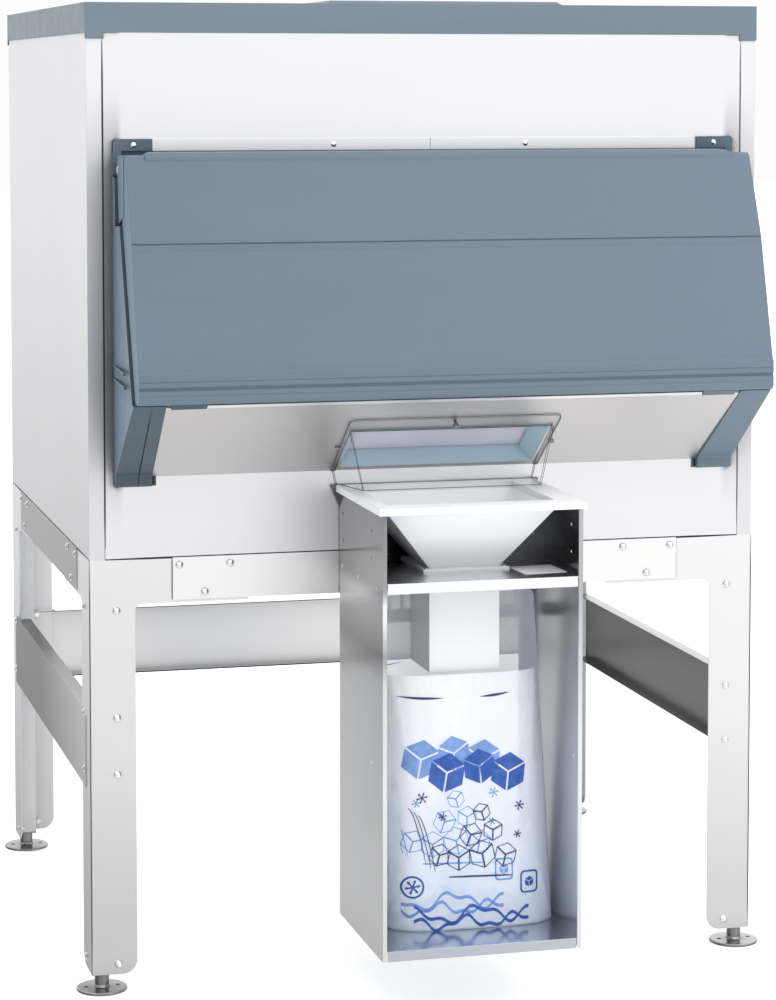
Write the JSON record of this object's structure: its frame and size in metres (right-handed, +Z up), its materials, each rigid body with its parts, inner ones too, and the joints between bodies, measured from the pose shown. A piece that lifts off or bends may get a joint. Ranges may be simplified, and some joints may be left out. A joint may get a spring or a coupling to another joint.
{
  "type": "ice storage bin with bagging station",
  "caption": "Insulated ice storage bin with a sloped hinged front door on an open steel stand, with a hopper and bagging cabinet hung on the front.",
  "frame": {"origin": "on the floor, at the middle of the whole object's width and length", "axes": "+X to the right seen from the front, +Y to the rear, +Z up; the door faces -Y"},
  "size_m": [1.2682, 1.3904, 1.734],
  "materials": {
    "bright_steel": "bright brushed stainless steel sheet",
    "stand_steel": "brushed stainless steel sheet",
    "foam": "rigid foam insulation",
    "white_liner": "white food-grade moulding",
    "blue_grey": "satin blue-grey moulding",
    "zinc": "bright plated fasteners",
    "gasket": "soft door seal",
    "hopper_white": "white moulding, satin",
    "clear": "clear sheet plastic",
    "black_knob": "black moulded knobs",
    "film": "thin translucent film with a blue print",
    "foot_steel": "machined metal foot",
    "card": "plain white card"
  },
  "bodies": {
    "bin": {"side_panel_left": "bright_steel", "side_panel_right": "bright_steel", "front_panel": "bright_steel", "rear_panel": "stand_steel", "base_pan": "stand_steel", "insulation": "foam", "liner": "white_liner", "ceiling": "white_liner", "top_deck": "blue_grey", "deck_insulation": "foam", "surround": "blue_grey", "slope_panel": "stand_steel", "header_strip": "bright_steel", "surround_screws": "zinc", "hinge_bracket_left": "blue_grey", "hinge_bracket_right": "blue_grey", "hinge_pins": "zinc", "outlet_sleeve": "blue_grey", "gate_guides": "white_liner", "drain_fitting": "white_liner", "leg_front_left": "bright_steel", "leg_front_right": "bright_steel", "leg_rear_left": "bright_steel", "leg_rear_right": "bright_steel", "leg_tubes": "stand_steel", "splice_front": "bright_steel", "splice_rear": "stand_steel", "splice_left": "stand_steel", "splice_right": "stand_steel", "mid_rail_left": "stand_steel", "mid_rail_right": "stand_steel", "mid_rail_rear": "stand_steel", "stand_bolts": "zinc", "stand_nuts": "zinc", "foot_sockets": "foot_steel", "bagger_hanger": "stand_steel", "bagger_side_left": "stand_steel", "bagger_side_right": "stand_steel", "upper_shelf": "stand_steel", "lower_shelf": "stand_steel", "bagger_screws": "zinc", "hopper": "hopper_white", "hopper_screws": "zinc", "ice_guard": "clear", "guard_thumbscrews": "black_knob", "bag_bracket": "hopper_white", "bag_wicket": "zinc", "ice_bag": "film", "note_card": "card"},
    "door": {"door_outer": "blue_grey", "door_insulation": "foam", "door_inner": "white_liner", "door_gasket": "gasket"},
    "gate": {"outlet_gate": "blue_grey"},
    "foot_front_left": {"foot_front_left": "foot_steel"},
    "foot_front_right": {"foot_front_right": "foot_steel"},
    "foot_rear_left": {"foot_rear_left": "foot_steel"},
    "foot_rear_right": {"foot_rear_right": "foot_steel"}
  },
  "joints": [
    {"name": "door_hinge", "type": "hinge", "parent": "bin", "child": "door", "pos_m": [0, -0.41525, 1.438], "axis": [-1, 0, 0], "range_deg": [0, 88]},
    {"name": "gate_slide", "type": "slide", "parent": "bin", "child": "gate", "axis": [0, -0.815, 0.5795], "range_m": [0, 0.08]},
    {"name": "foot_front_left_level", "type": "slide", "parent": "bin", "child": "foot_front_left", "axis": [0, 0, -1], "range_m": [0, 0.025]},
    {"name": "foot_front_right_level", "type": "slide", "parent": "bin", "child": "foot_front_right", "axis": [0, 0, -1], "range_m": [0, 0.025]},
    {"name": "foot_rear_left_level", "type": "slide", "parent": "bin", "child": "foot_rear_left", "axis": [0, 0, -1], "range_m": [0, 0.025]},
    {"name": "foot_rear_right_level", "type": "slide", "parent": "bin", "child": "foot_rear_right", "axis": [0, 0, -1], "range_m": [0, 0.025]}
  ]
}
